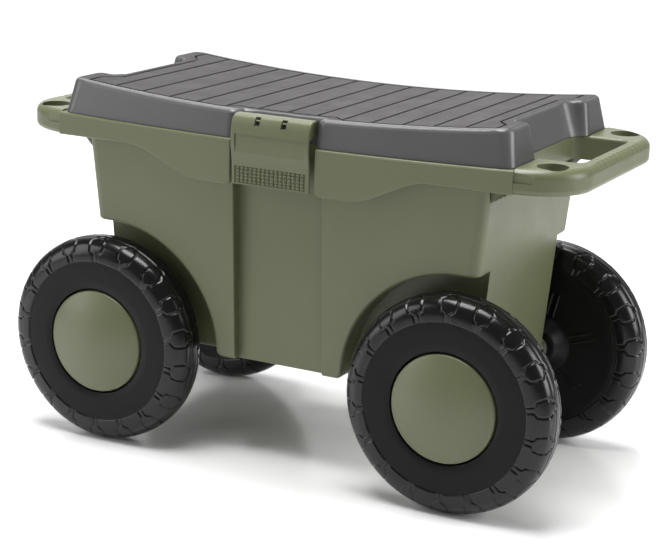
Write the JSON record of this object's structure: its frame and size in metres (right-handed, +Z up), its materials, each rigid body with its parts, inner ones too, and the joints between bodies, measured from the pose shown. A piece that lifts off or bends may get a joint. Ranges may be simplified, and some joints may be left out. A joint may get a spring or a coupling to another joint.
{
  "type": "rolling garden seat",
  "caption": "Garden seat with a slatted lid that hinges over a storage tub, a front latch, end handles with tool holes, and large rolling wheels.",
  "frame": {"origin": "on the ground, under the middle of the seat", "axes": "+X along the length towards one handle, +Z up, -Y is the side with the latch"},
  "size_m": [0.568, 0.286, 0.3472],
  "materials": {
    "green_plastic": "fine satin moulded polypropylene, olive green",
    "grey_plastic": "satin moulded polypropylene, dark grey, brushed grain on the slats",
    "black_plastic": "semi-gloss blow-moulded polyethylene, black",
    "zinc_steel": "bright zinc-plated steel"
  },
  "bodies": {
    "cart": {"tub": "green_plastic", "axle_left": "zinc_steel", "hinge_pin_left": "zinc_steel", "axle_right": "zinc_steel", "hinge_pin_right": "zinc_steel", "push_nut_front_left": "zinc_steel", "inner_washer_front_left": "zinc_steel", "outer_washer_front_left": "zinc_steel", "push_nut_front_right": "zinc_steel", "inner_washer_front_right": "zinc_steel", "outer_washer_front_right": "zinc_steel", "push_nut_rear_left": "zinc_steel", "inner_washer_rear_left": "zinc_steel", "outer_washer_rear_left": "zinc_steel", "push_nut_rear_right": "zinc_steel", "inner_washer_rear_right": "zinc_steel", "outer_washer_rear_right": "zinc_steel"},
    "seat_lid": {"lid": "grey_plastic"},
    "latch_flap": {"latch": "green_plastic"},
    "wheel_front_left_body": {"wheel_front_left": "black_plastic", "hub_cap_front_left": "green_plastic"},
    "wheel_front_right_body": {"wheel_front_right": "black_plastic", "hub_cap_front_right": "green_plastic"},
    "wheel_rear_left_body": {"wheel_rear_left": "black_plastic", "hub_cap_rear_left": "green_plastic"},
    "wheel_rear_right_body": {"wheel_rear_right": "black_plastic", "hub_cap_rear_right": "green_plastic"}
  },
  "joints": [
    {"name": "lid_hinge", "type": "hinge", "parent": "cart", "child": "seat_lid", "pos_m": [0, 0.1255, 0.3145], "axis": [-1, 0, 0], "range_deg": [0, 100]},
    {"name": "latch_pivot", "type": "hinge", "parent": "seat_lid", "child": "latch_flap", "pos_m": [0, -0.1085, 0.3265], "axis": [-1, 0, 0], "range_deg": [0, 75]},
    {"name": "wheel_spin_front_left", "type": "hinge", "parent": "cart", "child": "wheel_front_left_body", "pos_m": [-0.1824, -0.11325, 0.1], "axis": [0, 1, 0], "continuous": true},
    {"name": "wheel_spin_front_right", "type": "hinge", "parent": "cart", "child": "wheel_front_right_body", "pos_m": [0.1824, -0.11325, 0.1], "axis": [0, 1, 0], "continuous": true},
    {"name": "wheel_spin_rear_left", "type": "hinge", "parent": "cart", "child": "wheel_rear_left_body", "pos_m": [-0.1824, 0.11325, 0.1], "axis": [0, 1, 0], "continuous": true},
    {"name": "wheel_spin_rear_right", "type": "hinge", "parent": "cart", "child": "wheel_rear_right_body", "pos_m": [0.1824, 0.11325, 0.1], "axis": [0, 1, 0], "continuous": true}
  ]
}
